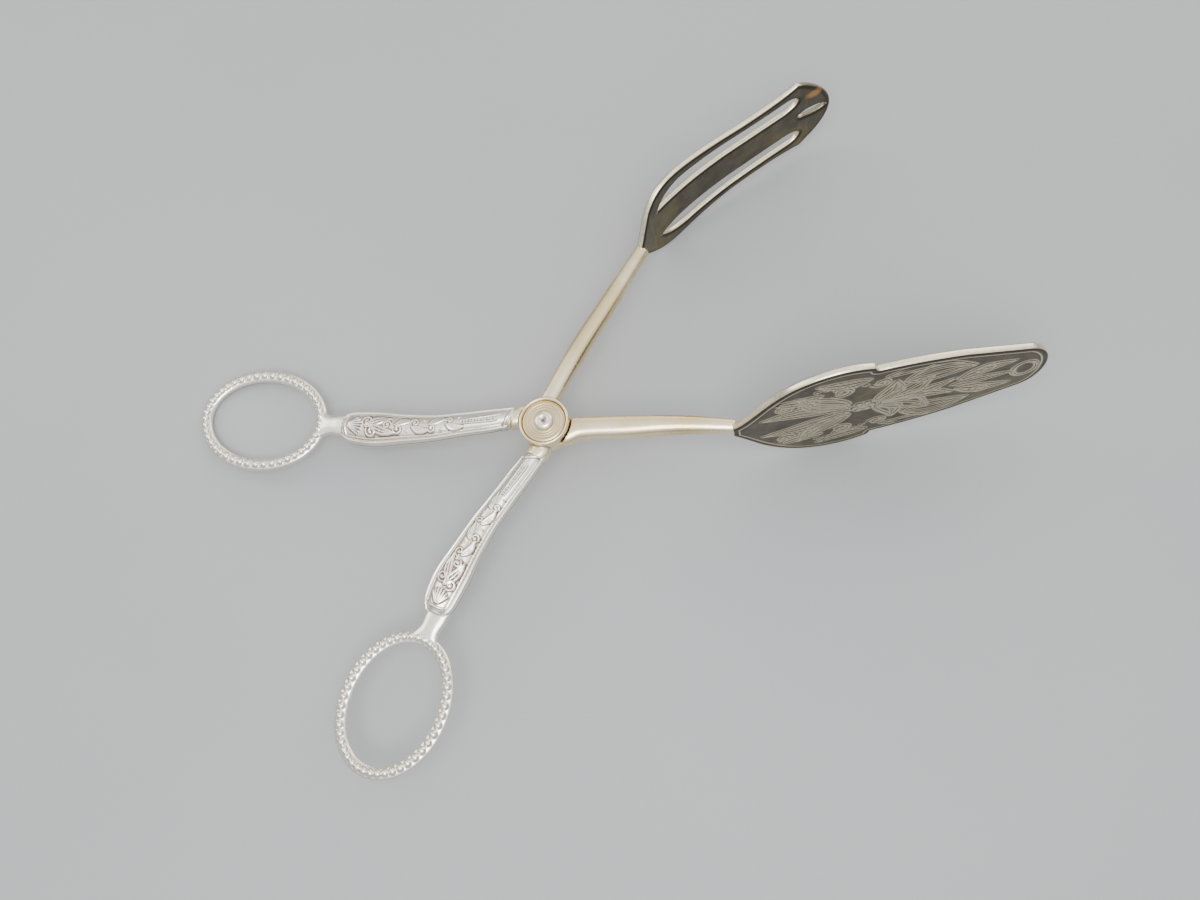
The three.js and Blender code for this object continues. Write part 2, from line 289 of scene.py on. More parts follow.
def neighbour_mean(values, edges, count):
    """Mean of each vertex's neighbours, for one value or one point per vertex."""
    total = np.zeros_like(values)
    for a, b in ((0, 1), (1, 0)):
        np.add.at(total, edges[:, a], values[edges[:, b]])
    shape = (-1,) + (1,) * (values.ndim - 1)
    return total / np.maximum(count, 1).reshape(shape)


def hollow_measure(mesh, steps, scale):
    """How deep (+) or proud (-) each vertex is against its smoothed surroundings, from -1 to 1."""
    n = len(mesh.vertices)
    points = np.zeros(n * 3)
    normals = np.zeros(n * 3)
    mesh.vertices.foreach_get("co", points)
    mesh.vertices.foreach_get("normal", normals)
    points, normals = points.reshape(-1, 3), normals.reshape(-1, 3)
    edges = np.zeros(len(mesh.edges) * 2, int)
    mesh.edges.foreach_get("vertices", edges)
    edges = edges.reshape(-1, 2)
    count = np.bincount(edges.ravel(), minlength=n).astype(float)
    smooth = points
    for _ in range(steps):
        smooth = 0.5 * smooth + 0.5 * neighbour_mean(smooth, edges, count)
    depth = np.einsum("ij,ij->i", smooth - points, normals) / (scale * MM)
    for _ in range(2):
        depth = 0.5 * depth + 0.5 * neighbour_mean(depth, edges, count)
    return np.clip(depth, -1, 1)


def mark_hollows(obj, steps, scale):
    """Stores the hollow measure for the materials to darken recesses and to brighten high spots as
    rubbed wear and painted highlight.
    """
    depth = hollow_measure(obj.data, steps, scale)
    layer = obj.data.attributes.new("hollow", "FLOAT", "POINT")
    layer.data.foreach_set("value", depth.astype(np.float32))


# ---------------------------------------------------------------- materials


class Nodes:
    """Short helper for building a node tree."""

    def __init__(self, name):
        self.material = bpy.data.materials.new(name)
        self.material.use_nodes = True
        self.tree = self.material.node_tree
        self.shader = self.tree.nodes["Principled BSDF"]

    def add(self, kind, **settings):
        node = self.tree.nodes.new(kind)
        for key, value in settings.items():
            setattr(node, key, value)
        return node

    def link(self, source, target):
        self.tree.links.new(source, target)

    def attribute(self, name):
        return self.add("ShaderNodeAttribute", attribute_name=name).outputs["Fac"]

    def place(self, scale):
        coords = self.add("ShaderNodeTexCoord")
        mapping = self.add("ShaderNodeMapping")
        mapping.inputs["Scale"].default_value = scale
        self.link(coords.outputs["Object"], mapping.inputs["Vector"])
        return mapping.outputs["Vector"]

    def noise(self, scale, detail, roughness, stretch=(1, 1, 1)):
        node = self.add("ShaderNodeTexNoise")
        node.inputs["Scale"].default_value = scale
        node.inputs["Detail"].default_value = detail
        node.inputs["Roughness"].default_value = roughness
        self.link(self.place(stretch), node.inputs["Vector"])
        return node.outputs["Fac"]

    def ramp(self, value, low, high, out_low=0.0, out_high=1.0):
        node = self.add("ShaderNodeMapRange")
        node.clamp = True
        limits = {"From Min": low, "From Max": high, "To Min": out_low, "To Max": out_high}
        for key, number in limits.items():
            node.inputs[key].default_value = number
        self.link(value, node.inputs["Value"])
        return node.outputs["Result"]

    def math(self, operation, a, b):
        node = self.add("ShaderNodeMath", operation=operation)
        for socket, value in zip(node.inputs, (a, b)):
            if isinstance(value, (int, float)):
                socket.default_value = value
            else:
                self.link(value, socket)
        return node.outputs["Value"]

    def mix(self, factor, a, b):
        node = self.add("ShaderNodeMix", data_type="RGBA")
        colours = [s for s in node.inputs if s.type == "RGBA"]
        self.link(factor, node.inputs["Factor"])
        for socket, value in zip(colours, (a, b)):
            if isinstance(value, tuple):
                socket.default_value = (*value, 1)
            else:
                self.link(value, socket)
        return next(s for s in node.outputs if s.type == "RGBA")

    def bump(self, height, strength, distance):
        node = self.add("ShaderNodeBump")
        node.inputs["Strength"].default_value = strength
        node.inputs["Distance"].default_value = distance
        self.link(height, node.inputs["Height"])
        self.link(node.outputs["Normal"], self.shader.inputs["Normal"])


DENT_DEPTH = 0.00006


def plated_metal(name, bright, warm, stain, wear, grime, roughness, dent):
    """Old plate: bright, warmer where it is thin, brown in the hollows, finely scratched."""
    n = Nodes(name)
    hollow = n.attribute("hollow")
    cloud = n.noise(210, 7, 0.62)
    broad = n.noise(45, 4, 0.55)
    grain = n.noise(1500, 3, 0.5)
    thin = n.math("ADD", broad, n.math("MULTIPLY", hollow, 0.25))
    thin = n.ramp(thin, 0.62 - wear, 0.8 - wear)
    colour = n.mix(thin, bright, warm)
    recess = n.ramp(n.math("ADD", hollow, n.math("MULTIPLY", cloud, 0.3)), 0.24, 0.62)
    patchy = n.ramp(cloud, 0.72 - grime, 0.86 - grime, 0, 0.5)
    dark = n.math("MAXIMUM", recess, patchy)
    colour = n.mix(dark, colour, stain)
    n.link(colour, n.shader.inputs["Base Color"])
    n.shader.inputs["Metallic"].default_value = 1.0
    gloss = n.ramp(grain, 0.3, 0.7, roughness - 0.02, roughness + 0.03)
    gloss = n.math("ADD", gloss, n.ramp(dark, 0, 1, 0, 0.25))
    n.link(gloss, n.shader.inputs["Roughness"])
    scratches = n.noise(900, 2, 0.7, (1, 9, 1))
    dents = n.noise(160, 3, 0.5)
    n.bump(n.math("ADD", n.math("MULTIPLY", scratches, 0.3), dents), dent, DENT_DEPTH)
    return n.material


def tarnished_metal(name, dull, gold, stain, polish_and_highlight, copper):
    """Jaw metal: mottled brown-grey tarnish, golden where rubbed, bright on edges and lines as
    rubbed wear and painted highlight.
    """
    n = Nodes(name)
    hollow = n.attribute("hollow")
    rim = n.attribute("rim")
    cloud = n.noise(240, 8, 0.68)
    broad = n.noise(70, 4, 0.6)
    fine = n.noise(1100, 5, 0.6)
    colour = n.mix(n.ramp(cloud, 0.42, 0.68, 0, 0.5), dull, stain)
    gilt = n.math("MAXIMUM", n.ramp(broad, 0.48, 0.66, 0, 0.75), n.attribute("gilt"))
    colour = n.mix(gilt, colour, gold)
    colour = n.mix(n.ramp(hollow, 0.03, 0.4, 0, 0.9), colour, stain)
    copper_tone = n.math("ADD", n.attribute("copper_tone"), n.math("MULTIPLY", cloud, 0.7))
    colour = n.mix(n.ramp(copper_tone, 0.55, 1.15, 0, 0.85), colour, copper)
    # High spots and edges take the bright colour: rubbed wear and painted highlight.
    high = n.ramp(n.math("MULTIPLY", hollow, -1.0), 0.06, 0.5, 0, 0.6)
    polish_and_highlight_mask = n.math("MAXIMUM", n.ramp(rim, 0.25, 0.8), high)
    polish_and_highlight_mask = n.math("MULTIPLY", polish_and_highlight_mask, n.ramp(fine, 0.25, 0.5, 0.72, 1))
    colour = n.mix(polish_and_highlight_mask, colour, polish_and_highlight)
    n.link(colour, n.shader.inputs["Base Color"])
    n.shader.inputs["Metallic"].default_value = 1.0
    dullness = n.ramp(cloud, 0.3, 0.7, 0.36, 0.5)
    dullness = n.math("ADD", dullness, n.ramp(fine, 0.3, 0.7, -0.04, 0.06))
    n.link(n.math("SUBTRACT", dullness, n.ramp(polish_and_highlight_mask, 0, 1, 0, 0.16)), n.shader.inputs["Roughness"])
    n.bump(n.math("ADD", n.math("MULTIPLY", fine, 0.4), cloud), 0.4, DENT_DEPTH)
    return n.material


SILVER = plated_metal(
    "silver_plate",
    bright=(0.93, 0.88, 0.78),
    warm=(0.8, 0.66, 0.47),
    stain=(0.2, 0.13, 0.09),
    wear=0.04,
    grime=0.0,
    roughness=0.2,
    dent=0.3,
)
WORN = plated_metal(
    "worn_plate",
    bright=(0.92, 0.79, 0.55),
    warm=(0.76, 0.6, 0.33),
    stain=(0.24, 0.17, 0.08),
    wear=0.2,
    grime=0.02,
    roughness=0.25,
    dent=0.05,
)
BRASS = plated_metal(
    "bare_brass",
    bright=(0.62, 0.49, 0.29),
    warm=(0.5, 0.36, 0.17),
    stain=(0.2, 0.14, 0.07),
    wear=0.1,
    grime=0.08,
    roughness=0.32,
    dent=0.2,
)
JAW = tarnished_metal(
    "tarnished_plate",
    dull=(0.125, 0.111, 0.085),
    gold=(0.21, 0.175, 0.086),
    stain=(0.06, 0.05, 0.034),
    # Bright colour of edges, lines and high spots: rubbed wear and painted highlight.
    polish_and_highlight=(0.92, 0.83, 0.62),
    copper=(0.56, 0.29, 0.11),
)


# ---------------------------------------------------------------- finger rings


RING_U = -74.0
RING_SKEW = 5.6 * DEGREE
RING_LONG, RING_SHORT = 15.8, 11.98
RING_WALL = 3.07
RING_BOTTOM, BAND_TOP = -1.3, 0.5
BEADS, BEAD_RADIUS, BEAD_SINK = 45, 0.95, 0.22
NECK_V, NECK_Z = -1.0, -0.1
# (u, half width, half height) along the neck between a ring and its handle
NECK = [
    (-58.4, 3.7, 1.0), (-57.4, 3.2, 1.15), (-56, 2.65, 1.25),
    (-54.6, 2.6, 1.3), (-53.4, 2.8, 1.35), (-50.5, 2.9, 1.4),
]


def ring_point(angle, offset=0.0):
    """A point (u, v) on the ring's oval, or offset outside it."""
    x = -(RING_LONG + offset) * math.cos(angle)
    y = (RING_SHORT + offset) * math.sin(angle)
    c, s = math.cos(-RING_SKEW), math.sin(-RING_SKEW)
    return x * c - y * s + RING_U, x * s + y * c


def oval_section(corners=28, power=0.8):
    """Points round a section between an oval and a box, from -1 to 1 on both axes."""
    points = []
    for j in range(corners):
        a = 2 * math.pi * j / corners
        c, s = math.cos(a), math.sin(a)
        points.append((math.copysign(abs(c) ** power, c), math.copysign(abs(s) ** power, s)))
    return points


def ring_band(sections=160):
    middle, rise = (RING_BOTTOM + BAND_TOP) / 2, (BAND_TOP - RING_BOTTOM) / 2
    rows = []
    for i in range(sections):
        angle = 2 * math.pi * i / sections
        rows.append(
            [(*ring_point(angle, x * RING_WALL / 2), middle + rise * z) for x, z in oval_section()]
        )
    return loft(rows, closed=True)


def ball(centre, radius, sides=20, rings=10):
    turns = [math.pi * i / rings for i in range(rings + 1)]
    profile = [(radius * math.sin(a), -radius * math.cos(a)) for a in turns]
    profile[0], profile[-1] = (0, profile[0][1]), (0, profile[-1][1])
    verts, faces = lathe(profile, sides)
    return verts + np.array(centre), faces


def ring_parts(seed):
    """A band with a row of slightly uneven beads, and its neck."""
    rng = np.random.default_rng(seed)
    parts = [ring_band()]
    for i in range(BEADS):
        px, py = ring_point(2 * math.pi * i / BEADS)
        size = BEAD_RADIUS * (1 + 0.03 * rng.standard_normal())
        parts.append(ball((px, py, BAND_TOP - BEAD_SINK), size))
    parts.append(neck())
    return parts


def neck():
    """Waisted stem between the ring and the handle."""
    widths = [(u, w) for u, w, _ in NECK]
    heights = [(u, h) for u, _, h in NECK]
    rows = []
    for u in np.linspace(NECK[0][0], NECK[-1][0], 40):
        w, h = float(along(widths, u)), float(along(heights, u))
        rows.append([(u, NECK_V + w * x, NECK_Z + h * z) for x, z in oval_section()])
    return loft(rows)


# ---------------------------------------------------------------- arms and pivot


def shank(half):
    """Round-edged bar from the handle, past the pivot, to the jaw."""
    design = SHANK[half]
    most_high, flatness = 2.4, 0.92
    rows = []
    for u in np.linspace(SHANK_START, design["end"], 130):
        w = float(along(design["widths"], u))
        mid = float(along(design["midline"], u))
        h = min(most_high, w * flatness)
        rows.append([(u, mid + w * x, h * z) for x, z in oval_section(32, 0.85)])
    return loft(rows)


def stub():
    """Short neck that closes the slanted gap between a handle's end and its shank."""
    half_width, half_height = 2.2, 1.9
    rows = []
    for u in np.linspace(-11.2, -7.6, 20):
        mid = float(along(HANDLE_MIDLINE, u))
        rows.append([(u, mid + half_width * x, half_height * z) for x, z in oval_section()])
    return loft(rows)


def post(radius, bottom, top):
    return lathe([(0, bottom), (radius, bottom), (radius, top), (0, top)])


def boss():
    """Dished boss: a raised round rim about a flat recess."""
    return lathe(
        [
            (0, LAP_GAP),
            (5.9, LAP_GAP),
            (BOSS_RADIUS, 0.5),
            (BOSS_RADIUS, 2.7),
            (6.12, 3.2),
            (5.9, 3.48),
            (5.65, 3.5),
            (5.45, 3.3),
            (5.38, 2.95),
            (5.3, LAP_TOP),
            (0, LAP_TOP),
        ]
    )


def lap_disc():
    """Disc under the boss, on the spade side."""
    return lathe(
        [
            (0, -LAP_TOP),
            (5.7, -LAP_TOP),
            (LAP_RADIUS, -2.35),
            (LAP_RADIUS, -0.4),
            (5.8, -LAP_GAP),
            (0, -LAP_GAP),
        ]
    )


def arm_parts(half):
    """A half's shank and disc, cut away where the other half's disc turns, bored for the rivet."""
    skim = 0.02
    if half == "fork":
        disc = boss()
        room = post(LAP_RADIUS + LAP_CLEARANCE, -6, LAP_GAP - skim)
    else:
        disc = lap_disc()
        room = post(BOSS_RADIUS + LAP_CLEARANCE, -LAP_GAP + skim, 6)
    bore = post(BORE_RADIUS, -8, 8)
    return fused([shank(half), stub(), disc], voxel=0.14, smoothing=7, cuts=[room, bore])


def rivet():
    """Shaft with a dimpled round head above and a clenched tail below."""
    base = LAP_TOP + 0.55
    tail = -LAP_TOP - 0.8
    return lathe(
        [
            (0, tail - 0.8),
            (1.2, tail - 0.78),
            (1.8, tail - 0.6),
            (2.15, tail - 0.3),
            (2.2, tail),
            (SHAFT_RADIUS, tail),
            (SHAFT_RADIUS, base),
            (2.2, base),
            (2.35, base + 0.12),
            (2.32, base + 0.35),
            (2.1, base + 0.62),
            (1.7, base + 0.82),
            (1.3, base + 0.9),
            (1.05, base + 0.86),
            (0.85, base + 0.7),
            (0.6, base + 0.5),
            (0.3, base + 0.4),
            (0, base + 0.38),
        ],
        sides=128,
    )


def pivot_disc():
    """Turned brass disc with fine steps round the rivet head."""
    z = LAP_TOP + 0.1
    top = z + 0.35
    rings = [(5.2, z), (5.2, z + 0.2), (5.0, top), (4.7, top + 0.04)]
    for r in (4.2, 3.6, 3.0):
        rings += [(r + 0.16, top), (r + 0.05, top - 0.06), (r - 0.05, top - 0.06), (r - 0.16, top)]
    return lathe([(0, z)] + rings + [(2.4, top), (0, top)], sides=128)


def back_washer():
    top = -LAP_TOP - 0.1
    edge = [(3.3, top - 0.6), (3.55, top - 0.48), (3.6, top - 0.3), (3.6, top)]
    return lathe([(0, top - 0.6)] + edge + [(0, top)])


# ---------------------------------------------------------------- raised and engraved ornament


class Relief:
    """A height map in mm over a flat (x, y) area in mm, drawn with rounded strokes."""

    step = 0.08

    def __init__(self, low, high):
        self.low = np.array(low, float)
        size = ((np.array(high) - self.low) / self.step).astype(int) + 1
        self.grid = np.zeros(size)

    def dab(self, x, y, radius, height):
        """One round dome, or a hollow where the height is below nought."""
        reach = int(radius / self.step) + 1
        i, j = ((np.array([x, y]) - self.low) / self.step).astype(int)
        i0, i1 = max(i - reach, 0), min(i + reach + 2, self.grid.shape[0])
        j0, j1 = max(j - reach, 0), min(j + reach + 2, self.grid.shape[1])
        if i0 >= i1 or j0 >= j1:
            return
        dx = self.low[0] + np.arange(i0, i1)[:, None] * self.step - x
        dy = self.low[1] + np.arange(j0, j1)[None, :] * self.step - y
        dome = height * np.sqrt(np.clip(1 - (dx * dx + dy * dy) / radius**2, 0, 1))
        patch = self.grid[i0:i1, j0:j1]
        if height > 0:
            np.maximum(patch, dome, out=patch)
        else:
            np.minimum(patch, dome, out=patch)

    def stroke(self, points, width, height, taper=0.35):
        """A line of even height; its width falls to the taper at both ends."""
        points = resample(points, self.step)
        for k, (x, y) in enumerate(points):
            t = k / max(len(points) - 1, 1)
            swell = taper + (1 - taper) * math.sin(math.pi * t) ** 0.6
            self.dab(x, y, max(width * swell, self.step * 1.2), height)

    def leaf(self, base, tip, width, bend, height, veins):
        """Pointed leaf: two edges, a rib and slanting veins; bend pushes its middle sideways."""
        base, tip = np.array(base, float), np.array(tip, float)
        axis = tip - base
        length = np.linalg.norm(axis)
        side = np.array([-axis[1], axis[0]]) / length
        t = np.linspace(0, 1, 40)
        rib = base + np.outer(t, axis) + np.outer(np.sin(np.pi * t) * bend, side)
        spread = width * np.sin(np.pi * t**0.75)
        self.stroke(rib, 0.3, height)
        for turn in (1, -1):
            edge = rib + np.outer(turn * spread, side)
            self.stroke(edge, 0.36, height)
            for k in range(1, veins):
                i = int(k * 36 / veins)
                j = min(i + 5, 39)
                self.stroke([rib[i], rib[j] + side * turn * spread[j] * 0.82], 0.2, height * 0.6)

    def frond(self, base, tip, width, bend, height, lines=3):
        """Leaf cut as curved lines that part from its base and meet at its tip."""
        base, tip = np.array(base, float), np.array(tip, float)
        axis = tip - base
        side = np.array([-axis[1], axis[0]]) / np.linalg.norm(axis)
        t = np.linspace(0, 1, 40)
        rib = base + np.outer(t, axis) + np.outer(np.sin(np.pi * t) * bend, side)
        for place in np.linspace(-1, 1, lines):
            spread = place * width * np.sin(np.pi * t**0.8)
            self.stroke(rib + np.outer(spread, side), 0.3, height * (0.8 + 0.2 * abs(place)), 0.7)

    def scroll(self, centre, radius, start, sweep, height, width):
        """C-scroll that winds inward and ends in a small bead."""
        t = np.linspace(0, 1, 60)
        a = (start + sweep * t) * DEGREE
        r = radius * (1 - 0.78 * t)
        points = np.column_stack([centre[0] + r * np.cos(a), centre[1] + r * np.sin(a)])
        self.stroke(points, width, height, 0.55)
        self.dab(*points[-1], width * 1.7, height)

    def flower(self, centre, radius, petals, height):
        """Round petals about a taller centre."""
        for k in range(petals):
            a = 2 * math.pi * k / petals
            px, py = centre[0] + radius * math.cos(a), centre[1] + radius * math.sin(a)
            self.dab(px, py, radius * 0.52, height * 0.8)
        self.dab(*centre, radius * 0.45, height * 1.3)

    def soften(self, times):
        """Rounds the strokes' edges."""
        for _ in range(times):
            g = np.pad(self.grid, 1, mode="edge")
            sides = g[:-2, 1:-1] + g[2:, 1:-1] + g[1:-1, :-2] + g[1:-1, 2:]
            self.grid = 0.5 * self.grid + 0.125 * sides

    def at(self, x, y):
        """Heights at many points, straight-line interpolated."""
        fx = np.clip((np.asarray(x) - self.low[0]) / self.step, 0, self.grid.shape[0] - 1.001)
        fy = np.clip((np.asarray(y) - self.low[1]) / self.step, 0, self.grid.shape[1] - 1.001)
        i, j = fx.astype(int), fy.astype(int)
        a, b = fx - i, fy - j
        g = self.grid
        near = g[i, j] * (1 - b) + g[i, j + 1] * b
        far = g[i + 1, j] * (1 - b) + g[i + 1, j + 1] * b
        return near * (1 - a) + far * a


def resample(points, step):
    """Points evenly along a line, a step apart."""
    points = np.asarray(points, float)
    lengths = np.linalg.norm(np.diff(points, axis=0), axis=1)
    total = np.concatenate([[0], np.cumsum(lengths)])
    count = max(int(total[-1] / step), 2)
    at = np.linspace(0, total[-1], count)
    return np.column_stack([np.interp(at, total, points[:, k]) for k in (0, 1)])


def bezier(points, count=24):
    """Points along a Bezier curve of any degree, without its last point."""
    t = np.linspace(0, 1, count, endpoint=False)[:, None]
    level = [np.array(p, float)[None, :] * np.ones_like(t) for p in points]
    while len(level) > 1:
        level = [a * (1 - t) + b * t for a, b in zip(level, level[1:])]
    return level[0]


# ---------------------------------------------------------------- handles


FRONT_CROWN = [
    (1.0, 0.0), (1.0, 0.25), (0.99, 0.42), (0.95, 0.52), (0.89, 0.56), (0.82, 0.53), (0.76, 0.55),
    (0.66, 0.67), (0.5, 0.82), (0.3, 0.93), (0.12, 0.99), (0.0, 1.0),
]
BACK_CROWN = [
    (1.0, 0.0), (0.995, 0.2), (0.96, 0.4), (0.9, 0.5), (0.86, 0.49), (0.8, 0.56), (0.65, 0.74),
    (0.45, 0.89), (0.22, 0.97), (0.0, 1.0),
]
HANDLE_START, HANDLE_END = -51.4, -8.6
END_SLANT = 1.4
# Each shell starts this far from the middle plane
SEAM = 0.15
# The relief fades out before the rim line, in parts of the half width
RELIEF_EDGE, RELIEF_FADE = 0.82, 0.08


def crown_section(profile, count):
    """Even points over the crown, edge to edge, in parts of the half width and the height."""
    half = np.array(profile)
    full = np.vstack([half, half[-2::-1] * (-1, 1)])
    table_t = np.linspace(0, 1, len(full))
    t = np.linspace(0, 1, count)
    xs = along(list(zip(table_t, full[:, 0])), t)
    zs = along(list(zip(table_t, full[:, 1])), t)
    return xs, zs


def handle_relief():
    """Leaf scrolls inside a border line, fullest at the ring end and slighter by the pivot."""
    relief = Relief((-52.5, -5), (-8.5, 5))
    for side in (1, -1):
        us = np.linspace(-50.2, -10.4, 160)
        edge = side * (along(HANDLE_WIDTHS, us) * 0.7)
        relief.stroke(np.column_stack([us, edge]), 0.2, 0.13, 0.9)
    a = np.linspace(0.5 * math.pi, 1.5 * math.pi, 30)
    relief.stroke(np.column_stack([-49.6 + 0.9 * np.cos(a), 2.6 * np.sin(a)]), 0.22, 0.16, 0.9)
    for k in range(7):
        turn = (k - 3) * 24 * DEGREE
        tip = (-46.6 + 1.7 * math.cos(turn) - 1.2, 2.1 * math.sin(turn))
        relief.stroke([(-49.6, tip[1] * 0.25), tip], 0.3, 0.26, 0.5)
    relief.scroll((-44.6, 1.25), 1.35, 200, -420, 0.3, 0.32)
    relief.scroll((-43.4, -1.35), 1.4, 150, 430, 0.3, 0.32)
    relief.leaf((-45.2, -0.2), (-38.6, 1.9), 0.8, 0.5, 0.26, 5)
    relief.leaf((-44.0, 0.2), (-37.2, -1.7), 0.75, -0.5, 0.26, 5)
    relief.scroll((-39.4, 0.25), 1.1, 20, 400, 0.28, 0.28)
    for k in range(4):
        u = -37.4 + 4.3 * k
        turn = 1 if k % 2 else -1
        size = 1.25 - 0.13 * k
        relief.scroll((u + 0.8, turn * 0.75), size, 180, -turn * 380, 0.24, 0.26)
        relief.leaf((u, -turn * 0.2), (u + 4.4, -turn * 1.15), 0.55, -turn * 0.5, 0.2, 4)
        relief.dab(u + 3.1, turn * 1.25, 0.3, 0.22)
    us = np.linspace(-20.5, -11.5, 60)
    for side in (1, -1):
        relief.stroke(np.column_stack([us, side * (0.45 + 0.03 * (us + 20))]), 0.22, 0.16, 0.6)
    for k in range(6):
        relief.dab(-20 + 1.5 * k, 0, 0.26, 0.2)
    relief.stroke([(-9.1, -2.3), (-9.1, 2.3)], 0.38, 0.24, 1.0)
    return relief


def handle_rows(profile, count_u, count_x):
    """Section rows of one shell along u, with its ends drawn in."""
    xs, zs = crown_section(profile, count_x)
    a = np.linspace(0.5 * math.pi, 0, 10)
    head = [(HANDLE_START - 0.8 * math.sin(t), 0.3 + 0.7 * math.cos(t)) for t in a[:-1]]
    tail = [(HANDLE_END + 0.3 * math.sin(t), 0.86 + 0.14 * math.cos(t)) for t in a[::-1][1:]]
    body = [(u, 1.0) for u in np.linspace(HANDLE_START, HANDLE_END, count_u)]
    rows = []
    for u, size in head + body + tail:
        v = float(along(HANDLE_MIDLINE, u))
        w = float(along(HANDLE_WIDTHS, u)) * size
        h = (float(along(HANDLE_HEIGHTS, u)) - SEAM) * size
        rows.append(np.column_stack([np.full(count_x, u), v + w * xs, SEAM + h * zs]))
    return np.array(rows)


def displaced(rows, heights):
    """Moves a grid of points out along its normals."""
    across = np.gradient(rows, axis=1)
    down = np.gradient(rows, axis=0)
    normal = np.cross(down, across)
    normal /= np.maximum(np.linalg.norm(normal, axis=2, keepdims=True), 1e-9)
    if normal[len(rows) // 2, rows.shape[1] // 2, 2] < 0:
        normal = -normal
    return rows + normal * heights[:, :, None]


def slanted(rows):
    """Slants the pivot end of a shell so that it follows the round boss."""
    u, v = rows[:, :, 0], rows[:, :, 1]
    across = (v - along(HANDLE_MIDLINE, u)) / along(HANDLE_WIDTHS, u)
    rows[:, :, 0] += END_SLANT * smoothstep(u, HANDLE_END - 6, HANDLE_END) * across
    return rows


def handle_shell(side):
    """The decorated front shell (side 1) or the plain back shell (side -1)."""
    if side > 0:
        rows = handle_rows(FRONT_CROWN, count_u=430, count_x=120)
        u = rows[:, :, 0]
        offset = rows[:, :, 1] - along(HANDLE_MIDLINE, u)
        heights = handle_relief().at(u, offset)
        across = np.abs(offset) / along(HANDLE_WIDTHS, u)
        heights *= np.clip((RELIEF_EDGE - across) / RELIEF_FADE, 0, 1)
        rows = displaced(rows, heights)
    else:
        rows = handle_rows(BACK_CROWN, count_u=200, count_x=72)
    rows = slanted(rows)
    under = rows[:, ::-6, :].copy()
    under[:, :, 2] = SEAM
    rows = np.concatenate([rows, under[:, 1:-1, :]], axis=1)
    rows[:, :, 2] *= side
    return loft(rows)


# ---------------------------------------------------------------- jaws


def mirrored(upper):
    """Whole outline from its upper half, which runs from base to tip."""
    upper = np.asarray(upper)
    lower = upper[upper[:, 1] > 1e-6] * (1, -1)
    return np.vstack([upper, lower[::-1]])


def spade_outline():
    return mirrored(
        np.vstack(
            [
                bezier([(45, 2.2), (50.2, 6.8), (54, 21.5), (69, 22.1)], 80),
                bezier([(69, 22.1), (72, 22.1), (74.5, 21.4), (76.4, 20.4)], 24),
                bezier([(76.4, 20.4), (77, 18.6)], 4),
                bezier([(77, 18.6), (84, 18.5), (90, 17.4), (96, 15.8)], 40),
                bezier([(96, 15.8), (110.3, 10.4)], 20),
                bezier([(110.3, 10.4), (113, 9.4), (115.2, 5.5), (115.2, 0)], 30),
                [(115.2, 0)],
            ]
        )
    )


def fork_outline():
    return mirrored(
        np.vstack(
            [
                bezier([(51, 2.1), (55, 6.5), (58, 13.3), (66.5, 13.3)], 50),
                bezier([(66.5, 13.3), (72, 13.3), (80, 11.6), (88, 11.4)], 30),
                bezier([(88, 11.4), (94, 11.3), (98, 11.6), (101.5, 12.6)], 24),
                bezier([(101.5, 12.6), (104.8, 10.6), (108.8, 5.6), (108.8, 0)], 40),
                [(108.8, 0)],
            ]
        )
    )


def fork_slots():
    side = np.vstack(
        [
            bezier([(60.5, 5.6), (63.5, 9.6), (69, 9.9)], 16),
            bezier([(69, 9.9), (78, 9.6), (86, 8.5), (97.5, 8.8)], 30),
            bezier([(97.5, 8.8), (101, 8.9), (101.4, 6.8)], 10),
            bezier([(101.4, 6.8), (101.2, 5.2), (97.5, 4.7)], 10),
            bezier([(97.5, 4.7), (70, 5.0)], 20),
            bezier([(70, 5.0), (64, 5.0), (60.5, 5.6)], 12),
        ]
    )
    a = np.linspace(0, 2 * math.pi, 40, endpoint=False)
    tip = np.column_stack([104.6 + 3.1 * np.cos(a), 1.2 * np.sin(a)])
    return [side, side * (1, -1), tip]


def flat_plate(outline, holes, edge, voxel, smoothing):
    """Plate with rounded edges lying flat: x along, y up the plate, z through its thickness."""
    curve = bpy.data.curves.new("plate", "CURVE")
    curve.dimensions = "2D"
    curve.fill_mode = "BOTH"
    curve.extrude = JAW_THICKNESS / 2 - edge
    curve.bevel_depth = edge
    curve.bevel_resolution = 5
    curve.offset = -edge
    for points in [outline, *holes]:
        spline = curve.splines.new("POLY")
        spline.points.add(len(points) - 1)
        flat = np.column_stack([points, np.zeros(len(points)), np.ones(len(points))])
        spline.points.foreach_set("co", flat.ravel())
        spline.use_cyclic_u = True
    source = add_object("plate", curve)
    graph = bpy.context.evaluated_depsgraph_get()
    graph.update()
    mesh = bpy.data.meshes.new_from_object(source.evaluated_get(graph))
    bpy.data.objects.remove(source)
    verts = np.zeros(len(mesh.vertices) * 3)
    mesh.vertices.foreach_get("co", verts)
    faces = [tuple(p.vertices) for p in mesh.polygons]
    bpy.data.meshes.remove(mesh)
    return fused([(verts.reshape(-1, 3), faces)], voxel, smoothing)


def vertex_normals(verts, faces):
    """Unit normals of a mesh of quads and triangles."""
    quads = np.array([f if len(f) == 4 else (*f, f[-1]) for f in faces])
    p = verts[quads]
    face = np.cross(p[:, 2] - p[:, 0], p[:, 3] - p[:, 1])
    total = np.zeros_like(verts)
    for k in range(4):
        np.add.at(total, quads[:, k], face)
    return total / np.maximum(np.linalg.norm(total, axis=1, keepdims=True), 1e-12)


def smoothstep(x, low, high):
    t = np.clip((x - low) / (high - low), 0, 1)
    return t * t * (3 - 2 * t)


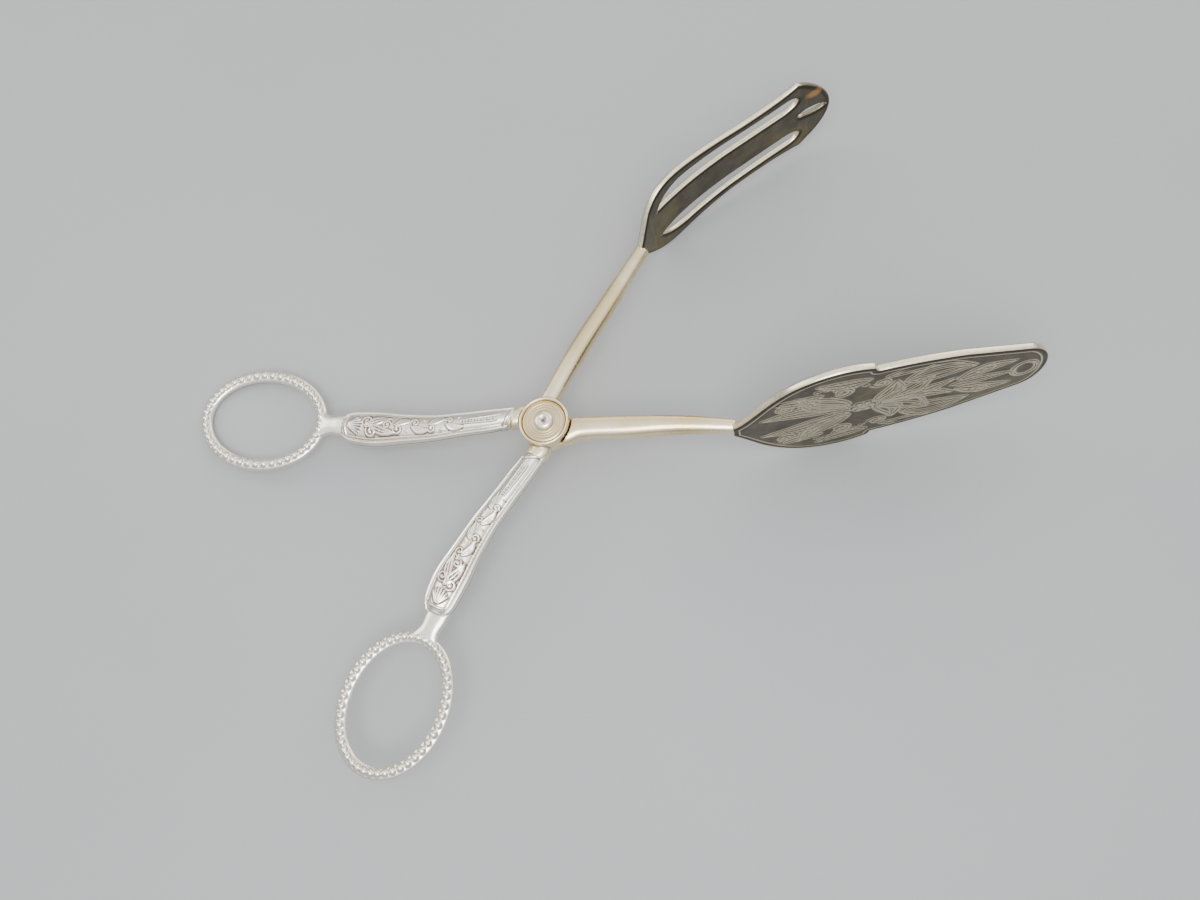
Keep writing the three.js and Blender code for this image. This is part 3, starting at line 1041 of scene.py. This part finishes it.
# Plan lines (u, v) that the jaws follow
SPADE_LINE = np.vstack(
    [bezier([(44, -0.25), (47.9, -0.2), (53, 1.24)], 12), [(53, 1.24), (118, 19.33)]]
)
FORK_LINE = np.vstack(
    [
        [(49, -0.2)],
        bezier([(57, -0.4), (66, 0.2), (82, 8.5)], 16),
        [(82, 8.5), (101.6, 19.4), (103.4, 20.6), (113, 28.2)],
    ]
)


def stand_up(verts, line):
    """Bends a flat plate along its plan line (u, v) and stands it upright."""
    line = np.asarray(line, float)
    us = np.arange(line[0, 0], line[-1, 0], 0.1)
    vs = np.interp(us, line[:, 0], line[:, 1])
    kernel = np.hanning(15)
    padded = np.concatenate([np.full(7, vs[0]), vs, np.full(7, vs[-1])])
    smooth = np.convolve(padded, kernel / kernel.sum(), "valid")
    slope = np.gradient(smooth, us)
    u, z, w = verts.T
    v, m = np.interp(u, us, smooth), np.interp(u, us, slope)
    size = np.sqrt(1 + m * m)
    return np.column_stack([u - m / size * w, v + w / size, z])


SPADE_AREA = (44, -23), (117, 23)


def spade_relief():
    """Engraved foliage: a rosette, leaves towards the tip, scrolls towards the base, scratches."""
    r = Relief(*SPADE_AREA)
    h, bold = 0.22, 0.32
    r.flower((74.4, 0), 1.9, 6, h * 1.2)
    for angle, length, width in ((64, 12, 2.2), (36, 16.5, 2.8), (12, 19, 2.0)):
        for side in (1, -1):
            a = side * angle * DEGREE
            tip = (76 + length * math.cos(a), length * math.sin(a))
            r.frond((76.4 + 2 * math.cos(a), 2 * math.sin(a)), tip, width, -side * 1.8, h)
    for side in (1, -1):
        r.frond((83.5, side * 9.4), (98.5, side * 9.2), 4.0, side * 1.6, h, 4)
        r.frond((95.5, side * 2.6), (107.5, side * 6.2), 1.9, side * 1.2, h)
        r.frond((71.2, side * 3.2), (59.5, side * 13.6), 2.9, side * 1.6, h, 4)
        r.frond((65, side * 12.2), (54, side * 13.4), 1.7, side * 1.4, h)
        r.frond((71.2, side * 1.2), (51.5, side * 5.0), 2.6, -side * 1.6, h, 4)
        r.frond((75.5, side * 15.2), (64, side * 17.6), 1.7, side * 1.0, h)
        r.frond((79, side * 14.4), (92, side * 14.4), 1.2, side * 0.8, h, 2)
        for centre, radius, start, sweep in (
            ((101, 6.4), 2.5, 190, 430),
            ((62, 8.2), 2.4, -40, 460),
            ((56.6, 9.6), 2.0, 30, -430),
            ((69.6, 11.4), 2.5, 210, 440),
            ((78, 11.8), 2.2, 190, 420),
        ):
            r.scroll((centre[0], side * centre[1]), radius, side * start, side * sweep, h, bold)
        for k in range(6):
            r.dab(64 + 2.1 * k, side * (14.8 - 0.4 * k + 0.7 * math.sin(2.4 * k)), 0.55, h)
    r.frond((94, 0), (107, 0), 1.2, 0, h, 2)
    a = np.linspace(0, 2 * math.pi, 50)
    r.stroke(np.column_stack([110.2 + 2.6 * np.cos(a), 3.6 * np.sin(a)]), bold, h, 0.9)
    r.soften(2)
    scratches = Relief(*SPADE_AREA)
    rng = np.random.default_rng(7)
    for _ in range(240):
        u, z = rng.uniform(48, 111), rng.uniform(-15, 15)
        length = rng.uniform(2, 6)
        bow = rng.uniform(-0.5, 0.5)
        path = [(u, z), (u + length / 2, z + bow), (u + length, z + bow * 0.4)]
        scratches.stroke(path, 0.16, -0.015, 0.5)
    r.grid += scratches.grid
    return r


def spade_jaw():
    """The engraved spade and the marks that its material reads."""
    outline = spade_outline()
    verts, faces = flat_plate(outline, [], edge=0.55, voxel=0.16, smoothing=2)
    normals = vertex_normals(verts, faces)
    facing = np.abs(normals[:, 2])
    outside = normals[:, 2] < 0
    border = resample(np.vstack([outline, outline[:1]]), 0.8)
    edge = np.min([np.hypot(verts[:, 0] - x, verts[:, 1] - y) for x, y in border], axis=0)
    inset = smoothstep(edge, 1.6, 2.6)
    drawn = spade_relief().at(verts[:, 0], verts[:, 1])
    groove = -0.1 * np.exp(-(((edge - 1.5) / 0.22) ** 2))
    height = (drawn * inset + groove) * smoothstep(facing, 0.8, 0.95) * outside
    verts = verts + normals * height[:, None]
    # Edges and raised engraved lines are marked bright: rubbed wear and painted highlight.
    edges = 1 - smoothstep(facing, 0.45, 0.9)
    lines = 0.62 * smoothstep(height, 0.1, 0.17)
    gilt = np.exp(-(((edge - 0.8) / 1.3) ** 2)) * smoothstep(-verts[:, 1], 2, 8)
    gilt = gilt * smoothstep(-verts[:, 0], -84, -72)
    marks = {"rim": np.maximum(edges, lines), "gilt": gilt, "copper_tone": np.zeros(len(verts))}
    return (stand_up(verts, SPADE_LINE), faces), marks


def fork_jaw():
    """The pierced fork and the marks that its material reads."""
    verts, faces = flat_plate(fork_outline(), fork_slots(), edge=0.86, voxel=0.15, smoothing=4)
    normals = vertex_normals(verts, faces)
    # Edges are marked bright, rubbed wear and painted highlight, less so on the bent tip.
    tip_fade = 1 - 0.6 * smoothstep(verts[:, 0], 101, 103)
    rim = (1 - smoothstep(np.abs(normals[:, 2]), 0.4, 0.92)) * tip_fade
    # A copper-coloured spot near the tip.
    spot_u, spot_z = 105.2, 6.6
    copper_tone = np.exp(-(((verts[:, 0] - spot_u) / 1.7) ** 2) - ((verts[:, 1] - spot_z) / 1.3) ** 2)
    marks = {"rim": rim, "gilt": np.zeros(len(verts)), "copper_tone": copper_tone}
    return (stand_up(verts, FORK_LINE), faces), marks


# ---------------------------------------------------------------- pieces


def jaw_piece(name, half, jaw, node):
    parts, marks = jaw
    obj = piece(name, half, parts, JAW, [node], sharp=60, attributes=marks)
    mark_hollows(obj, steps=14, scale=0.05)


def plated_piece(name, half, parts, material, node, steps, scale):
    obj = piece(name, half, parts, material, [node], sharp=50, attributes={})
    mark_hollows(obj, steps, scale)


jaw_piece("spade_jaw_engraved", "spade", spade_jaw(), "spade_jaw")
jaw_piece("fork_jaw_pierced", "fork", fork_jaw(), "fork_jaw")

# Each row: piece, node, shape, material, slot, and the steps and depth of its hollow measure
front, back = handle_shell(1), handle_shell(-1)
for half, seed in (("spade", 3), ("fork", 11)):
    ring = fused(ring_parts(seed), voxel=0.12, smoothing=3)
    for name, node, parts, material, slot, steps, scale in (
        ("finger_ring", "ring", ring, SILVER, "silver_plate", 14, 0.2),
        ("handle_face", "handle_front", front, SILVER, "silver_plate", 10, 0.045),
        ("handle_reverse", "handle_back", back, SILVER, "silver_plate", 10, 0.06),
        ("arm_bar", "arm", arm_parts(half), WORN, "worn_plate", 12, 0.1),
    ):
        name, node = f"{half}_{name}", f"{half}_{node}"
        plated_piece(name, half, parts, material, node, steps, scale)

for name, node, parts, material, slot, steps, scale in (
    ("pivot_rivet_head", "pivot_rivet", rivet(), SILVER, "silver_plate", 8, 0.16),
    ("pivot_brass_disc", "pivot_disc", pivot_disc(), BRASS, "bare_brass", 6, 0.09),
    ("pivot_back_washer", "pivot_washer", back_washer(), BRASS, "bare_brass", 6, 0.05),
):
    plated_piece(name, "spade", parts, material, node, steps, scale)


# ---------------------------------------------------------------- floor, light and camera


def pale_floor():
    n = Nodes("pale_paper")
    tone = n.ramp(n.noise(6, 5, 0.55), 0.3, 0.7)
    n.link(n.mix(tone, (0.335, 0.34, 0.345), (0.36, 0.365, 0.37)), n.shader.inputs["Base Color"])
    n.shader.inputs["Roughness"].default_value = 0.85
    n.bump(n.noise(600, 4, 0.6), 0.08, 0.0002)
    size = 8
    corners = [(-size, -size, 0), (size, -size, 0), (size, size, 0), (-size, size, 0)]
    obj = add_object("floor", make_mesh("floor", corners, [(0, 1, 2, 3)]))
    obj.data.materials.append(n.material)


def area_light(name, place, aim, size, power, tint):
    light = bpy.data.lights.new(name, "AREA")
    light.shape = "DISK"
    light.size = size
    light.energy = power
    light.color = tint
    obj = add_object(name, light)
    obj.location = place
    obj.rotation_euler = (Vector(aim) - Vector(place)).to_track_quat("-Z", "Y").to_euler()


def studio():
    """Pale dome, brightest overhead, with four soft lamps."""
    world = bpy.data.worlds.new("studio")
    world.use_nodes = True
    tree = world.node_tree
    coords = tree.nodes.new("ShaderNodeTexCoord")
    height = tree.nodes.new("ShaderNodeSeparateXYZ")
    tone = tree.nodes.new("ShaderNodeMapRange")
    for key, value in (("From Min", 0.0), ("From Max", 1.0), ("To Min", 0.3), ("To Max", 1.9)):
        tone.inputs[key].default_value = value
    tree.links.new(coords.outputs["Generated"], height.inputs["Vector"])
    tree.links.new(height.outputs["Z"], tone.inputs["Value"])
    back = tree.nodes["Background"]
    back.inputs["Color"].default_value = (0.93, 0.96, 1.0, 1)
    tree.links.new(tone.outputs["Result"], back.inputs["Strength"])
    bpy.context.scene.world = world
    area_light("key", (-0.02, -0.14, 0.42), (0, 0, 0.01), 0.28, 1.5, (1, 0.985, 0.96))
    area_light("side", (-0.5, 0.3, 0.35), (0, 0, 0), 0.4, 1.0, (1, 0.93, 0.82))
    area_light("rim", (0.42, 0.45, 0.35), (0, 0, 0), 0.4, 1.0, (1, 0.9, 0.74))
    area_light("warm", (0.1, 0.62, 0.16), (0, 0, 0.01), 0.5, 0.8, (1, 0.82, 0.52))


# The camera's place and turn in the pivot's frame, in mm and degrees, from the photograph's view
CAMERA_PLACE = (46.448, -101.967, 250.379)
CAMERA_TURN = (19.382, 9.903, -6.023)
CAMERA_LENS = 33.98


def camera():
    data = bpy.data.cameras.new("camera")
    data.sensor_width = 36
    data.lens = CAMERA_LENS
    data.clip_start = 0.01
    obj = add_object("camera", data)
    place = Vector(CAMERA_PLACE) * MM
    turn = Euler([angle * DEGREE for angle in CAMERA_TURN]).to_matrix().to_4x4()
    lean = Matrix(LEAN.tolist()).to_4x4()
    obj.matrix_world = Matrix.Translation(PIVOT) @ lean @ Matrix.Translation(place) @ turn
    bpy.context.scene.camera = obj


pale_floor()
studio()
camera()

bpy.context.view_layer.update()
